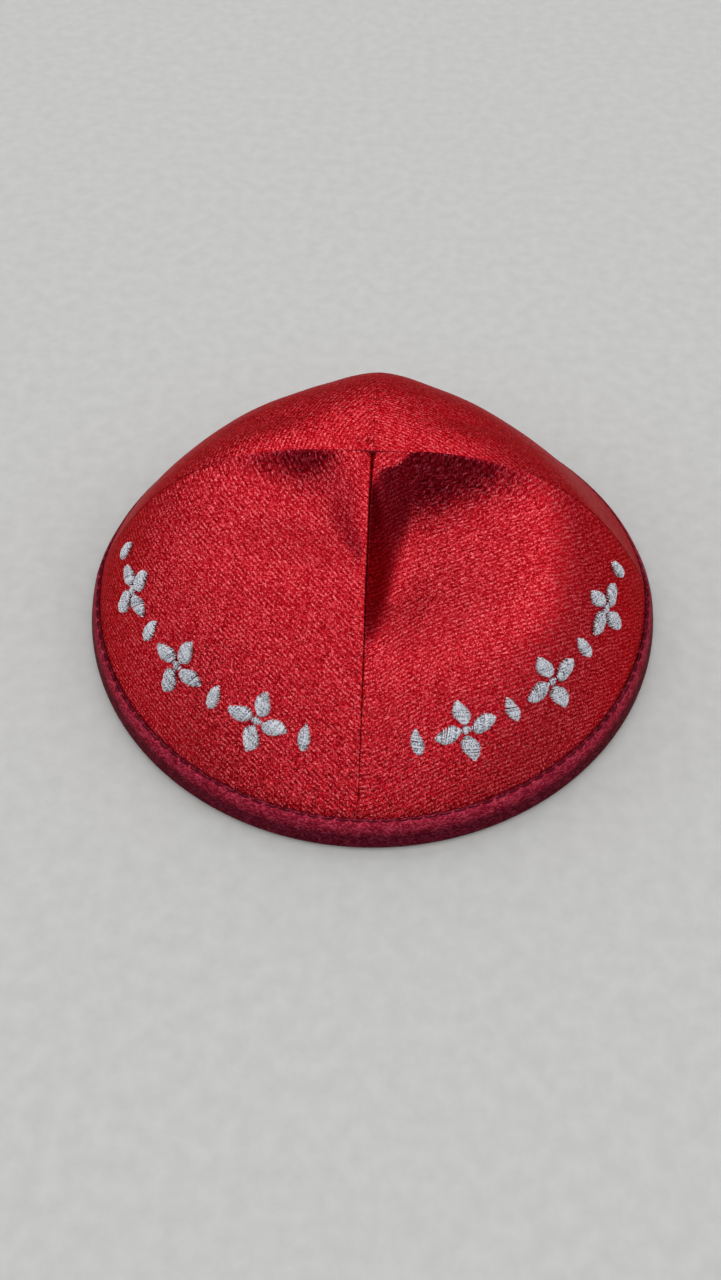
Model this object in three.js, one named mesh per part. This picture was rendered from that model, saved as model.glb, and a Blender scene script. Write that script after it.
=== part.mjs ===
// Four-panel satin kippah skullcap, standing on its rim.
//
// Four cloth panels meet in two crossing seams. The seam from side to side stands up as a folded ridge.
// Behind the ridge the cap is a smooth dome. In front of it the panels run out to the rim, and each of them
// has a dent beside the crown. Close to the rim the cloth rolls down, and a folded tape binds its lower edge.
//
// Units are millimetres, +Z is up, and -Y is the front. The origin is the centre of the plan, on the surface
// that the cap stands on. The plan is a half circle in front of the ridge and a half ellipse behind it.

import * as THREE from 'three';

// Driving dimensions
const RIM_RADIUS = 80; // half of the cap's width, outside the binding
const BACK_SHARE = 0.9; // depth behind the ridge as a share of the depth in front of it
const CAP_HEIGHT = 60; // top of the crown above the standing surface
const PANEL_THICKNESS = 1.1;
const TAPE_THICKNESS = 1.1;
const CLEARANCE = 0.3; // between one piece and the next
const LEAF_LENGTH = 7.8; // how far the tape reaches up the panels, outside and inside
const STANDING_HALF_ANGLE = THREE.MathUtils.degToRad(25); // half of the arc that is pressed flat under the rim

// Colours
const SATIN_RED = 0xb3141f;
const BINDING_WINE = 0x5e0d20;

// The ridge is an arch across the cap: it falls with this power of the distance from the crown.
const RIDGE_FULLNESS = 3.2;

// Close to the rim the cloth rolls down by this height, within about this reach.
const RIM_ROLL = { height: 4, reach: 1.2 };

// Sections across the ridge, each at a distance from the crown, as a share of the rim radius.
// The other columns are the powers of the fall from the ridge to the rim, behind it and before it.
const SECTIONS = [
  { across: 0.0, back_left: 2.79, back_right: 2.79, front: 1.22 },
  { across: 0.2, back_left: 2.26, back_right: 2.28, front: 1.26 },
  { across: 0.4, back_left: 1.85, back_right: 1.78, front: 1.36 },
  { across: 0.6, back_left: 1.52, back_right: 1.38, front: 1.48 },
  { across: 0.8, back_left: 1.27, back_right: 1.05, front: 1.58 },
  { across: 1.0, back_left: 1.1, back_right: 1.0, front: 1.66 },
];

// Dents of the front panels. Each drops from the front seam within seam_edge and from the ridge within
// ridge_edge, and dies out over across and forward. ridge_edge and forward are shares of the way to the rim.
const DENTS = {
  left: { depth: 5, seam_edge: 7, ridge_edge: 0.05, across: 32, forward: 0.3 },
  right: { depth: 16.5, seam_edge: 5.5, ridge_edge: 0.085, across: 33, forward: 0.45 },
};
const DENT_POWERS = { seam_edge: 1.8, ridge_edge: 1.5, across: 2, forward: 4 }; // above 1, so that edges are round
const LEAST_SEAM_EDGE = 3; // the seam's edge narrows to this where a dent runs out forward

// The crown keeps a short lip in front, where the four seams are sewn together.
const LIP = { length: 0.07, half_width: 7 };

// Facets of each panel: columns from seam to seam, rows from the crown to the rim
const COLUMNS = 20;
const ROWS = 22;
const COLUMN_SPREAD = 0.4; // above 0, so that the columns lie closer together at the seams
const CROWN_SPREAD = 1.6; // above 1, so that the rows lie closer together at the crown
const RIM_SPREAD = 2; // above 1, so that the rows lie closer together at the rim

// Places of the binding's section lines on its leaves, as shares of the leaf from the edge up
const LEAF_SHARES = [0.14, 0.34, 0.62, 1];

// Sizes that follow
const HALF_WALL = PANEL_THICKNESS / 2;
const TAPE_INSIDE = HALF_WALL + CLEARANCE;
const TAPE_OUTSIDE = TAPE_INSIDE + TAPE_THICKNESS;
const EDGE_RADIUS = RIM_RADIUS - TAPE_OUTSIDE; // middle of the panels' lower edge
const EDGE_HEIGHT = TAPE_OUTSIDE * Math.cos(STANDING_HALF_ANGLE);
const CROWN_RISE = CAP_HEIGHT - HALF_WALL - EDGE_HEIGHT - RIM_ROLL.height;
const SEAM_OFFSET = CLEARANCE / 2; // each panel stops this far from the seam's plane
const PLAN_SHIFT = (RIM_RADIUS * (1 - BACK_SHARE)) / 2; // brings the middle of the plan to the origin

// Smooth value of one column of SECTIONS, through its rows, on Catmull-Rom curves
function sectionValue(column, across) {
  const spacing = SECTIONS[1].across;
  const last = SECTIONS.length - 1;
  const place = Math.min(across / spacing, last - 1e-9);
  const row = Math.floor(place);
  const t = place - row;
  const at = (i) => SECTIONS[Math.min(Math.abs(i), last)][column];
  const slopeIn = (at(row + 1) - at(row - 1)) / 2;
  const slopeOut = (at(row + 2) - at(row)) / 2;
  const rise = at(row + 1) - at(row);
  return at(row) + t * (slopeIn + t * (3 * rise - 2 * slopeIn - slopeOut + t * (slopeIn + slopeOut - 2 * rise)));
}

// Share of an edge that has dropped at a distance past its start
function dropped(distance, edge, power) {
  return 1 - Math.exp(-((distance / edge) ** power));
}

// Depth of a front panel's dent at a distance from the front seam and a share of the way from the ridge to the rim
function dentDepth(px, way) {
  const dent = px < 0 ? DENTS.left : DENTS.right;
  const fromSeam = Math.abs(px);
  const lip = LIP.length * Math.exp(-((px / LIP.half_width) ** 2));
  const fromLip = Math.max(way - lip, 0);
  const forward = Math.exp(-((way / dent.forward) ** DENT_POWERS.forward));
  const across = Math.exp(-((fromSeam / dent.across) ** DENT_POWERS.across));
  const seamEdge = Math.max(dent.seam_edge * forward, LEAST_SEAM_EDGE);
  const fromSeamShare = dropped(fromSeam, seamEdge, DENT_POWERS.seam_edge);
  const fromRidgeShare = dropped(fromLip, dent.ridge_edge, DENT_POWERS.ridge_edge);
  return dent.depth * fromSeamShare * fromRidgeShare * forward * across;
}

// Height of the middle of the wall over a point of the round plan
function wallHeight(px, py) {
  const x = px / EDGE_RADIUS;
  const y = py / EDGE_RADIUS;
  const across = Math.min(Math.abs(x), 1);
  const ridge = 1 - across ** RIDGE_FULLNESS;
  const reach = Math.sqrt(Math.max(1 - x * x, 1e-9));
  const way = Math.min(Math.abs(y) / reach, 1);
  const inFront = py < 0;
  const back = px < 0 ? 'back_left' : 'back_right';
  const fall = way ** sectionValue(inFront ? 'front' : back, across);
  const dent = inFront ? dentDepth(px, way) : 0;
  const fromRim = Math.max(EDGE_RADIUS - Math.hypot(px, py), 0);
  const roll = RIM_ROLL.height * dropped(fromRim, RIM_ROLL.reach, 1);
  return EDGE_HEIGHT + roll + CROWN_RISE * ridge * (1 - fall) - dent;
}

// Outward direction of the wall, from the slopes of its height on this side of the seams
function wallNormal(px, py, sideX, sideY) {
  const step = 0.2;
  const radius = Math.hypot(px, py);
  const shrink = Math.min(1, (EDGE_RADIUS - step) / radius);
  const x = sideX * Math.max(Math.abs(px * shrink), step);
  const y = sideY * Math.max(Math.abs(py * shrink), step);
  const half = step / 2;
  const slopeX = (wallHeight(x + half, y) - wallHeight(x - half, y)) / step;
  const slopeY = (wallHeight(x, y + half) - wallHeight(x, y - half)) / step;
  return new THREE.Vector3(-slopeX, -slopeY, 1).normalize();
}

// The wall's middle shifted along its normal, but kept on its own side of both seams
const SEAM_SHARE = 0.6; // most of the way to a seam's plane that a shift may take
function shiftedWall(px, py, sideX, sideY, distance) {
  const shift = wallNormal(px, py, sideX, sideY).multiplyScalar(distance);
  const room = (coordinate, side) => Math.max(SEAM_SHARE * (side * coordinate - SEAM_OFFSET), 0);
  const held = (amount, coordinate, side) => side * Math.max(side * amount, -room(coordinate, side));
  const outX = room(px, sideX) === 0 ? 0 : held(shift.x, px, sideX);
  const outY = room(py, sideY) === 0 ? 0 : held(shift.y, py, sideY);
  return [px + outX, py + outY, wallHeight(px, py) + shift.z];
}

// A point of the round plan in the cap's own plan, which is less deep behind the ridge
function placed([x, y, z]) {
  return [x, (y > 0 ? BACK_SHARE * y : y) + PLAN_SHIFT, z];
}

// A geometry from points over the round plan and triangles, with its faces turned outwards
function closedGeometry(planPoints, triangles) {
  const points = planPoints.map(placed);
  const corner = (i) => new THREE.Vector3(...points[i]);
  let volume = 0;
  for (const [a, b, c] of triangles) {
    volume += corner(a).dot(corner(b).cross(corner(c)));
  }
  const facing = volume > 0 ? triangles : triangles.map(([a, b, c]) => [a, c, b]);
  const geometry = new THREE.BufferGeometry();
  geometry.setAttribute('position', new THREE.Float32BufferAttribute(points.flat(), 3));
  geometry.setIndex(facing.flat());
  geometry.computeVertexNormals();
  return geometry;
}

// Turn of a column about the crown, from one seam to the next
function columnTurn(column) {
  const share = column / COLUMNS;
  return (share * Math.PI - (COLUMN_SPREAD / 2) * Math.sin(2 * Math.PI * share)) / 2;
}

// One panel: a quarter of the cap, as a wall with an outer and an inner face
function panelGeometry(sideX, sideY) {
  const points = [];
  const edge = EDGE_RADIUS - CLEARANCE;
  const planPoint = (column, row) => {
    const turn = columnTurn(column);
    const along = SEAM_OFFSET * (Math.cos(turn) + Math.sin(turn));
    const length = Math.sqrt(along ** 2 - 2 * SEAM_OFFSET ** 2 + edge ** 2) - along;
    const distance = length * (1 - (1 - (row / ROWS) ** CROWN_SPREAD) ** RIM_SPREAD);
    const x = sideX * (SEAM_OFFSET + distance * Math.cos(turn));
    const y = sideY * (SEAM_OFFSET + distance * Math.sin(turn));
    return [x, y];
  };

  // Each face is one point at the crown, then a row of points for each step down
  const addFace = (distance) => {
    const first = points.length;
    points.push(shiftedWall(...planPoint(0, 0), sideX, sideY, distance));
    for (let row = 1; row <= ROWS; row++) {
      for (let column = 0; column <= COLUMNS; column++) {
        points.push(shiftedWall(...planPoint(column, row), sideX, sideY, distance));
      }
    }
    return (column, row) => (row === 0 ? first : first + 1 + (row - 1) * (COLUMNS + 1) + column);
  };
  const outer = addFace(HALF_WALL);
  const inner = addFace(-HALF_WALL);

  const triangles = [];
  const addQuad = (a, b, c, d) => {
    if (a !== b) triangles.push([a, b, c]);
    if (c !== d) triangles.push([a, c, d]);
  };
  for (let row = 0; row < ROWS; row++) {
    for (let column = 0; column < COLUMNS; column++) {
      const next = column + 1;
      addQuad(outer(column, row), outer(next, row), outer(next, row + 1), outer(column, row + 1));
      addQuad(inner(next, row), inner(column, row), inner(column, row + 1), inner(next, row + 1));
    }
    addQuad(inner(0, row), outer(0, row), outer(0, row + 1), inner(0, row + 1));
    addQuad(outer(COLUMNS, row), inner(COLUMNS, row), inner(COLUMNS, row + 1), outer(COLUMNS, row + 1));
  }
  for (let column = 0; column < COLUMNS; column++) {
    addQuad(outer(column, ROWS), outer(column + 1, ROWS), inner(column + 1, ROWS), inner(column, ROWS));
  }
  return closedGeometry(points, triangles);
}

// Radius, height and slope of the wall's middle at a turn about the crown, at a distance in from the rim
function wallNearRim(turn, fromRim) {
  const heightAt = (radius) => wallHeight(radius * Math.cos(turn), radius * Math.sin(turn));
  const radius = EDGE_RADIUS - fromRim;
  const step = 0.1;
  const outer = Math.min(radius + step, EDGE_RADIUS);
  const inner = radius - step;
  const angle = Math.atan2(heightAt(inner) - heightAt(outer), outer - inner);
  return { radius, height: heightAt(radius), angle };
}

// How far in from the rim the leaves end: what the roll leaves of their length runs up the slope behind it
function leafEnd(turn) {
  const behindRoll = 4 * RIM_ROLL.reach;
  const near = wallNearRim(turn, behindRoll);
  const far = wallNearRim(turn, 2 * behindRoll);
  const slope = (far.height - near.height) / behindRoll;
  return (LEAF_LENGTH - RIM_ROLL.height) / Math.hypot(1, slope);
}

// Section of the binding in the upright plane at a turn about the crown: a folded strip round the panels' edge
function bindingSection(turn) {
  const end = leafEnd(turn);
  const leafPoint = (share, offset) => {
    const wall = wallNearRim(turn, share * end);
    return [wall.radius + offset * Math.sin(wall.angle), wall.height + offset * Math.cos(wall.angle)];
  };
  const leafUp = (offset) => LEAF_SHARES.map((share) => leafPoint(share, offset));
  const leafDown = (offset) => leafUp(offset).reverse();
  const slope = wallNearRim(turn, 0).angle;
  const outerEnd = Math.PI / 2 - slope;
  const innerEnd = -Math.PI / 2 - slope;
  const flatOut = -Math.PI / 2 + STANDING_HALF_ANGLE;
  const flatIn = -Math.PI / 2 - STANDING_HALF_ANGLE;
  const fold = [outerEnd, 0, flatOut / 2, flatOut, flatIn, (flatIn + innerEnd) / 2, innerEnd];
  const foldPoint = (angle) => [
    EDGE_RADIUS + TAPE_OUTSIDE * Math.cos(angle),
    EDGE_HEIGHT + TAPE_OUTSIDE * Math.sin(angle),
  ];
  const slotPoint = (side) => [
    EDGE_RADIUS + side * TAPE_INSIDE * Math.sin(slope),
    EDGE_HEIGHT + side * TAPE_INSIDE * Math.cos(slope),
  ];
  return [
    ...fold.map(foldPoint),
    ...leafUp(-TAPE_OUTSIDE),
    ...leafDown(-TAPE_INSIDE),
    slotPoint(-1),
    slotPoint(1),
    ...leafUp(TAPE_INSIDE),
    ...leafDown(TAPE_OUTSIDE),
  ];
}

// The binding: its section carried round the rim
function bindingGeometry() {
  const steps = 4 * COLUMNS;
  const points = [];
  let count = 0;
  for (let step = 0; step < steps; step++) {
    const quarter = Math.floor(step / COLUMNS);
    const turn = (quarter * Math.PI) / 2 + columnTurn(step % COLUMNS);
    const section = bindingSection(turn);
    count = section.length;
    for (const [radius, height] of section) {
      points.push([radius * Math.cos(turn), radius * Math.sin(turn), height]);
    }
  }
  const triangles = [];
  for (let step = 0; step < steps; step++) {
    const here = step * count;
    const next = ((step + 1) % steps) * count;
    for (let i = 0; i < count; i++) {
      const j = (i + 1) % count;
      triangles.push([here + i, next + i, next + j], [here + i, next + j, here + j]);
    }
  }
  return closedGeometry(points, triangles);
}

const satin = new THREE.MeshStandardMaterial({ color: SATIN_RED, roughness: 0.4, metalness: 0 });
const bindingSatin = new THREE.MeshStandardMaterial({ color: BINDING_WINE, roughness: 0.45, metalness: 0 });

function namedMesh(name, geometry, material) {
  const mesh = new THREE.Mesh(geometry, material);
  mesh.name = name;
  return mesh;
}

// Left and right are as seen from the front.
const PANELS = [
  { name: 'panel_front_left', sideX: -1, sideY: -1 },
  { name: 'panel_front_right', sideX: 1, sideY: -1 },
  { name: 'panel_back_left', sideX: -1, sideY: 1 },
  { name: 'panel_back_right', sideX: 1, sideY: 1 },
];

const kippah = new THREE.Group();
for (const { name, sideX, sideY } of PANELS) {
  kippah.add(namedMesh(name, panelGeometry(sideX, sideY), satin));
}
kippah.add(namedMesh('rim_binding', bindingGeometry(), bindingSatin));

export default kippah;
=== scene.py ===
"""Satin kippah skullcap: its cloth, binding, stitches and embroidery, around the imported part.

Lengths are metres in the part's own frame: the origin is the centre of the plan, on the surface that the
cap stands on, +Z is up and -Y is the front. Left and right are as seen from the front.
The forms are worked out over a round plan about the crown. Each piece is then set into the cap's own plan,
which is less deep behind the ridge.
"""

import math

import bpy
import numpy as np
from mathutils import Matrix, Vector


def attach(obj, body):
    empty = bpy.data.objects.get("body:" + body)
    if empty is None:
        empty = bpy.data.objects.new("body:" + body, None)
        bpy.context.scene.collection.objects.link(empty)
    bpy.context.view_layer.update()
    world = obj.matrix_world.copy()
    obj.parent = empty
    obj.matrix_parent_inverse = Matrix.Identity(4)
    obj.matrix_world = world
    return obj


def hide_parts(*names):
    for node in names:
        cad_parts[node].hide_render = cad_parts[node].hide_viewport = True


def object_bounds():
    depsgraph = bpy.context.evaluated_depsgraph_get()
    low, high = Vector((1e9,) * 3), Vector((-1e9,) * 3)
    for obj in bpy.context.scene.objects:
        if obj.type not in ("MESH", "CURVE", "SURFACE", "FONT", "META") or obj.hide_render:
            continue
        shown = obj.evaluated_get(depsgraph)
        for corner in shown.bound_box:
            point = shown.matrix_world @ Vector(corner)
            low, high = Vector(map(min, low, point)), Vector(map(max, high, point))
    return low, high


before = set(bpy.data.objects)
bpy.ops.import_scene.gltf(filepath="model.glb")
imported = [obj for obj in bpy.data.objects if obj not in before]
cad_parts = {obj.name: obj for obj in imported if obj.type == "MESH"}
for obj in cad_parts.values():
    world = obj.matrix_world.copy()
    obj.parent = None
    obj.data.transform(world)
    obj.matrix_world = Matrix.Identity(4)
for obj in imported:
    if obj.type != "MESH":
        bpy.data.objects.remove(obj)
cad_low, cad_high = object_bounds()

MM = 0.001
QUARTER = math.pi / 2
FULL = 2 * math.pi
TINY = 1e-9  # keeps roots and places clear of their limits

# Sizes of the cap, from the frame
RIM_RADIUS = (cad_high.x - cad_low.x) / 2
CAP_HEIGHT = cad_high.z
BACK_SHARE = 0.9  # depth behind the ridge as a share of the depth in front of it
PLAN_SHIFT = RIM_RADIUS * (1 - BACK_SHARE) / 2

# Walls
HALF_WALL = 0.55 * MM
LEAST_WALL = 0.05 * MM  # upright thickness that a rolled seam leaves
STEEPEST = 2.5  # most that a wall's slope may lengthen its upright thickness
SLOPE_STEP = 0.2 * MM  # distance over which slopes are taken
SHARP_ANGLE = math.radians(50)  # an edge that turns by more is sharp
FOLD_RADIUS = 1.95 * MM  # of the binding's fold round the panels' edge
STANDING_HALF_ANGLE = math.radians(25)  # half of the arc that is pressed flat under the rim
RIM_ROLL = {"height": 4.0 * MM, "reach": 1.2 * MM}  # the cloth rolls down close to the rim
ROLL_END = 4 * RIM_ROLL["reach"]  # distance from the rim at which the roll has died out
EDGE_RADIUS = RIM_RADIUS - FOLD_RADIUS
EDGE_HEIGHT = FOLD_RADIUS * math.cos(STANDING_HALF_ANGLE)
EDGE_GAP = 0.3 * MM  # the panels end this far inside the middle of the fold
CROWN_RISE = CAP_HEIGHT - HALF_WALL - EDGE_HEIGHT - RIM_ROLL["height"]

# The ridge is an arch across the cap: it falls with this power of the distance from the crown.
RIDGE_FULLNESS = 3.2

# Powers of the fall from the ridge to the rim, at even steps across the cap from the crown outwards
SECTION_STEP = 0.2
SECTIONS = {
    "back_left": (2.79, 2.26, 1.85, 1.52, 1.27, 1.10),
    "back_right": (2.79, 2.28, 1.78, 1.38, 1.05, 1.00),
    "front": (1.22, 1.26, 1.36, 1.48, 1.58, 1.66),
}

# Dents of the front panels: each drops from the front seam and the ridge, and dies out across and forward
DENTS = {
    "left": {
        "depth": 11.5 * MM, "seam_edge": 11.5 * MM, "seam_power": 2.1, "ridge_edge": 0.06, "lip": 0.0,
        "across": 31 * MM, "forward": 0.27,
    },
    "right": {
        "depth": 18.5 * MM, "seam_edge": 4.5 * MM, "seam_power": 1.1, "ridge_edge": 0.075, "lip": 0.055,
        "across": 33 * MM, "forward": 0.45,
    },
}
DENT_POWERS = {"ridge_edge": 1.15, "across": 2, "forward": 4, "lip": 5}
LEAST_SEAM_EDGE = 3 * MM
LIP_HALF_WIDTH = 8.5 * MM
PAINTED_SHADE_SLOPES = {"start": 0.2, "full": 1.4}  # painted shade: the cloth's colour is darkened where a dent drops this steeply

# Sewn seams: the panels' edges roll in, the cloth beside them is pulled down, and it puckers along them
SEAM_GAP = 0.02 * MM
SEAM_ROLL = {
    "front": 0.9 * MM, "front_fade": 0.85, "back": 0.1 * MM,
    "ridge_front": 0.16 * MM, "ridge_back": 0.06 * MM,
}
SEAM_PULL = {"front": 0.9 * MM, "front_fade": 0.9, "back": 0.0, "ridge_front": 0.1 * MM, "ridge_back": 0.0}
SEAM_PULL_WIDTH = 1.1 * MM
SEAM_PUCKER = {
    "height": 0.10 * MM, "pitch": 3.1 * MM, "width": 2.4 * MM,
    "drift": 2.2, "drift_pitches": 5.3,  # the beat drifts by this angle, once in so many pitches
}
RIM_PUCKER = {"height": 0.12 * MM, "width": 2.6 * MM, "mean": 0.7, "swing": 0.3, "swings": 17}

# Small tucks at the crown and shallow hollows beside it, behind the ridge
BACK_HOLLOWS = [
    {"x": -0.9 * MM, "y": 4.0 * MM, "half_width": 0.6 * MM, "half_length": 1.8 * MM, "depth": 0.7 * MM},
    {"x": -3.2 * MM, "y": 3.4 * MM, "half_width": 0.8 * MM, "half_length": 1.2 * MM, "depth": 0.5 * MM},
    {"x": -28 * MM, "y": 17 * MM, "half_width": 11 * MM, "half_length": 6 * MM, "depth": 1.1 * MM},
    {"x": 24 * MM, "y": 18 * MM, "half_width": 10 * MM, "half_length": 6 * MM, "depth": 1.1 * MM},
]

# Soft waves in the cloth
WAVES = [
    {"length": 31 * MM, "height": 0.09 * MM, "direction": 0.4, "phase": 0.0},
    {"length": 23 * MM, "height": 0.06 * MM, "direction": 1.9, "phase": 1.0},
    {"length": 17 * MM, "height": 0.04 * MM, "direction": 2.7, "phase": 2.0},
    {"length": 12 * MM, "height": 0.02 * MM, "direction": 1.2, "phase": 3.0},
]
WAVE_BEND = {"angle": 1.3, "lengths": 1.7}  # the crests swing by this angle, once in so many wave lengths
WAVE_FADE = 9 * MM  # the waves die out this close to a seam or the rim

# Panels: their sides of the crown and the turn of their weave
PANELS = [
    {"name": "panel_front_left", "side_x": -1, "side_y": -1, "grain": math.radians(-4)},
    {"name": "panel_front_right", "side_x": 1, "side_y": -1, "grain": math.radians(19)},
    {"name": "panel_back_left", "side_x": -1, "side_y": 1, "grain": math.radians(-30)},
    {"name": "panel_back_right", "side_x": 1, "side_y": 1, "grain": math.radians(20)},
]
COLUMNS = 220
ROWS = 150
COLUMN_SPREAD = 0.72  # above 0, so that the columns lie closer together at the seams
CROWN_SPREAD = 1.15  # above 1, so that the rows lie closer together at the crown
RIM_SPREAD = 1.5  # above 1, so that the rows lie closer together at the rim
GORE_SHARE = 0.8  # turn of a panel laid flat, as a share of its turn about the crown

# Satin weave: rows of short floats, and finer glints on them
ROW_PITCH = 1.08 * MM
FLOAT_PITCH = 0.75 * MM
GLINT_PITCH = 0.3 * MM

# Patterns of the other finishes, in repeats to the metre along and across the cloth
CLOTH_SCALE = (1, 1, 1)
SATIN_BACK_WEAVE = (2200, 1400, 1)
TAPE_FLOATS = (1800, 3600, 1)
TAPE_SLUBS = (300, 300, 1)
THREAD_SPECKS = (3200, 80, 1)  # along a thread, and over the threads' tones
THREAD_TWIST = 9000.0  # radians to the metre
FLOOR_GRAIN = 220.0
MID_CHANCE = (0.5, 0.5, 0.5)  # middle of a chance colour

# Binding: a tape folded round the rim
LEAF_LENGTH = 7.8 * MM
LEAF_PAST_ROLL = LEAF_LENGTH - RIM_ROLL["height"]
TAPE_THICKNESS = 0.55 * MM
TAPE_CLEARANCE = 0.03 * MM  # between the tape and the panels
TAPE_PUFF = 1.8  # power with which the tape thins from the fold to its stitched edge
TAPE_EDGE_SWING = 0.03  # swing of the tape's edge with the stitches, as a share of the leaf
BACK_PRESS = {"from_ridge": 0.25, "share": 0.55, "stitches": 0.25 * MM}  # it is flatter behind the ridge
TAPE_STEPS = {"outer_leaf": 20, "outer_fold": 8, "under_fold": 4, "inner_leaf": 10}

# Topstitching of the binding
STITCH_FROM_EDGE = 0.4 * MM
STITCH_SHARE = 1 - STITCH_FROM_EDGE / LEAF_PAST_ROLL  # place of the stitch line on the leaf
STITCH_COUNT = 130
STITCH_RADIUS = 0.2 * MM
STITCH_FORM = {"half_length": 0.46, "rise": 0.75, "dip": 2.2, "dip_power": 6}  # in pitches, and in radii
STITCH_GROOVE = {"half_width": 0.5 * MM, "depth": 0.16 * MM, "hole_depth": 0.26 * MM, "hole_power": 4}
STEPS_PER_STITCH = 8
STITCH_SEED = 4

# Threads
THREAD_SIDES = 6
THREAD_STEPS = 8
THREAD_END_POWER = 8

# Embroidery: a row of ornaments, placed in degrees from the front seam
THREAD_RADIUS = 0.19 * MM
THREAD_PITCH = 0.32 * MM
SATIN_STITCH = {
    "lift": 0.8 * MM, "full_length": 3 * MM, "arch_power": 4, "arch_fullness": 0.7,
    "rise": 1.6, "sink": 0.9, "end_spread": 0.09 * MM, "lift_spread": 0.03 * MM,
}
ORNAMENTS = {"first": 13, "step": 11.5, "count": 7}
ORNAMENT_BASE = EDGE_RADIUS - 2 * RIM_ROLL["reach"]  # radius from which the way up the cloth is measured
ORNAMENT_UP = 18.5 * MM  # middle of the row, up the cloth
ORNAMENT_RADIUS = EDGE_RADIUS - 13 * MM  # radius at which the ornaments have their true width
ORNAMENT_REACH = 14 * MM  # distance over which the slope of the cloth under them is taken
LEAF_FORM = {"skew": 0.85, "fullness": 0.75}
ROSETTE = {
    "leaf_length": 6.8 * MM, "leaf_half_width": 2.55 * MM, "leaf_start": 1.53 * MM, "slant": 0.35,
    "middle": 2.55 * MM,
}
LOZENGE = {"length": 7 * MM, "half_width": 1.89 * MM, "slant": 0.3}
EMBROIDERY_SEED = 11

# Stage: soft boxes, whose bearings go round from the front to the right in degrees, a room and a floor
LIGHT_DISTANCE = 1.2
LIGHT_COLOUR = (1.0, 0.985, 0.96)
SOFT_LIGHTS = [
    {"name": "front_top_light", "bearing": 2, "elevation": 64, "width": 2.6, "depth": 1.8, "power": 10.2},
    {"name": "back_light", "bearing": 190, "elevation": 44, "width": 1.6, "depth": 0.8, "power": 3.8},
    {"name": "left_light", "bearing": 275, "elevation": 24, "width": 0.9, "depth": 0.7, "power": 1.2},
    {"name": "right_light", "bearing": 92, "elevation": 42, "width": 0.8, "depth": 0.6, "power": 1.2},
]
DIM_SIDE = (0.0, -0.9, -0.43)
ROOM_TONES = [(0.15, 1.0), (0.35, 0.6), (0.50, 0.2), (0.65, 0.03)]  # towards the middle of the dim side
ROOM_TINT = (1.0, 0.99, 0.97)
ROOM_STRENGTH = 0.38
FLOOR_HALF = 3.0

# Camera, in the photograph's 721 x 1280 pixels
FRAME_HEIGHT = 1280
FOCAL_PIXELS = 1250
VIEW_YAW = math.radians(2.8)
VIEW_PITCH = math.radians(52.8)
VIEW_DISTANCE = 4.513 * RIM_RADIUS
RIM_CENTRE_RIGHT = 12.0  # where the middle of the ridge's foot lies, from the middle of the picture
RIM_CENTRE_UP = 44.7


# Form of the wall


def section_value(column, across):
    """One column of SECTIONS at a distance from the crown, on Catmull-Rom curves through its rows."""
    values = np.array(SECTIONS[column])
    last = len(values) - 1
    place = np.minimum(across / SECTION_STEP, last - TINY)
    row = np.floor(place).astype(int)
    t = place - row

    def at(index):
        return values[np.minimum(np.abs(index), last)]

    slope_in = (at(row + 1) - at(row - 1)) / 2
    slope_out = (at(row + 2) - at(row)) / 2
    rise = at(row + 1) - at(row)
    bend = 3 * rise - 2 * slope_in - slope_out
    return at(row) + t * (slope_in + t * (bend + t * (slope_in + slope_out - 2 * rise)))


def dropped(distance, edge, power):
    """Share of a drop that is past at a distance from its start: 1 - exp(-(distance / edge) ** power)."""
    return 1 - np.exp(-((distance / edge) ** power))


def way_to_rim(x, y):
    """Share of the way from the ridge to the rim, straight forward or back."""
    across = np.minimum(np.abs(x) / EDGE_RADIUS, 1)
    reach = np.sqrt(np.maximum(1 - across**2, TINY))
    return np.minimum(np.abs(y) / EDGE_RADIUS / reach, 1)


def dent_depth(x, way, dent):
    """Depth of a dent: the drops from the seam and from the crown's lip, times exponentials that end it.

    The drop from the seam is as much narrower towards the front as the dent is shallower there.
    """
    from_seam = np.abs(x)
    lip = dent["lip"] * np.exp(-((from_seam / LIP_HALF_WIDTH) ** DENT_POWERS["lip"]))
    from_lip = np.maximum(way - lip, 0)
    forward = np.exp(-((way / dent["forward"]) ** DENT_POWERS["forward"]))
    across = np.exp(-((from_seam / dent["across"]) ** DENT_POWERS["across"]))
    seam_edge = np.maximum(dent["seam_edge"] * forward, LEAST_SEAM_EDGE)
    edges = dropped(from_seam, seam_edge, dent["seam_power"])
    edges = edges * dropped(from_lip, dent["ridge_edge"], DENT_POWERS["ridge_edge"])
    return dent["depth"] * edges * forward * across


def dents(x, y):
    """Depth of the front panels' dents."""
    way = way_to_rim(x, y)
    depth = np.where(x < 0, dent_depth(x, way, DENTS["left"]), dent_depth(x, way, DENTS["right"]))
    return np.where(y < 0, depth, 0)


def wall_height(x, y):
    """Height of the middle of the wall over the round plan.

    The ridge falls from the crown as a power of the distance across. From the ridge the wall falls to the
    rim as a power of the share of the way, less the dents in front, and close to the rim it rolls down.
    """
    across = np.minimum(np.abs(x) / EDGE_RADIUS, 1)
    way = way_to_rim(x, y)
    ridge = 1 - across**RIDGE_FULLNESS
    back = np.where(x < 0, section_value("back_left", across), section_value("back_right", across))
    fall = way ** np.where(y < 0, section_value("front", across), back)
    from_rim = np.maximum(EDGE_RADIUS - np.hypot(x, y), 0)
    roll = RIM_ROLL["height"] * dropped(from_rim, RIM_ROLL["reach"], 1)
    return EDGE_HEIGHT + roll + CROWN_RISE * ridge * (1 - fall) - dents(x, y)


def height_around(turn, radius):
    """Height of the middle of the wall at a turn about the crown and a radius from it."""
    return wall_height(radius * np.cos(turn), radius * np.sin(turn))


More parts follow.
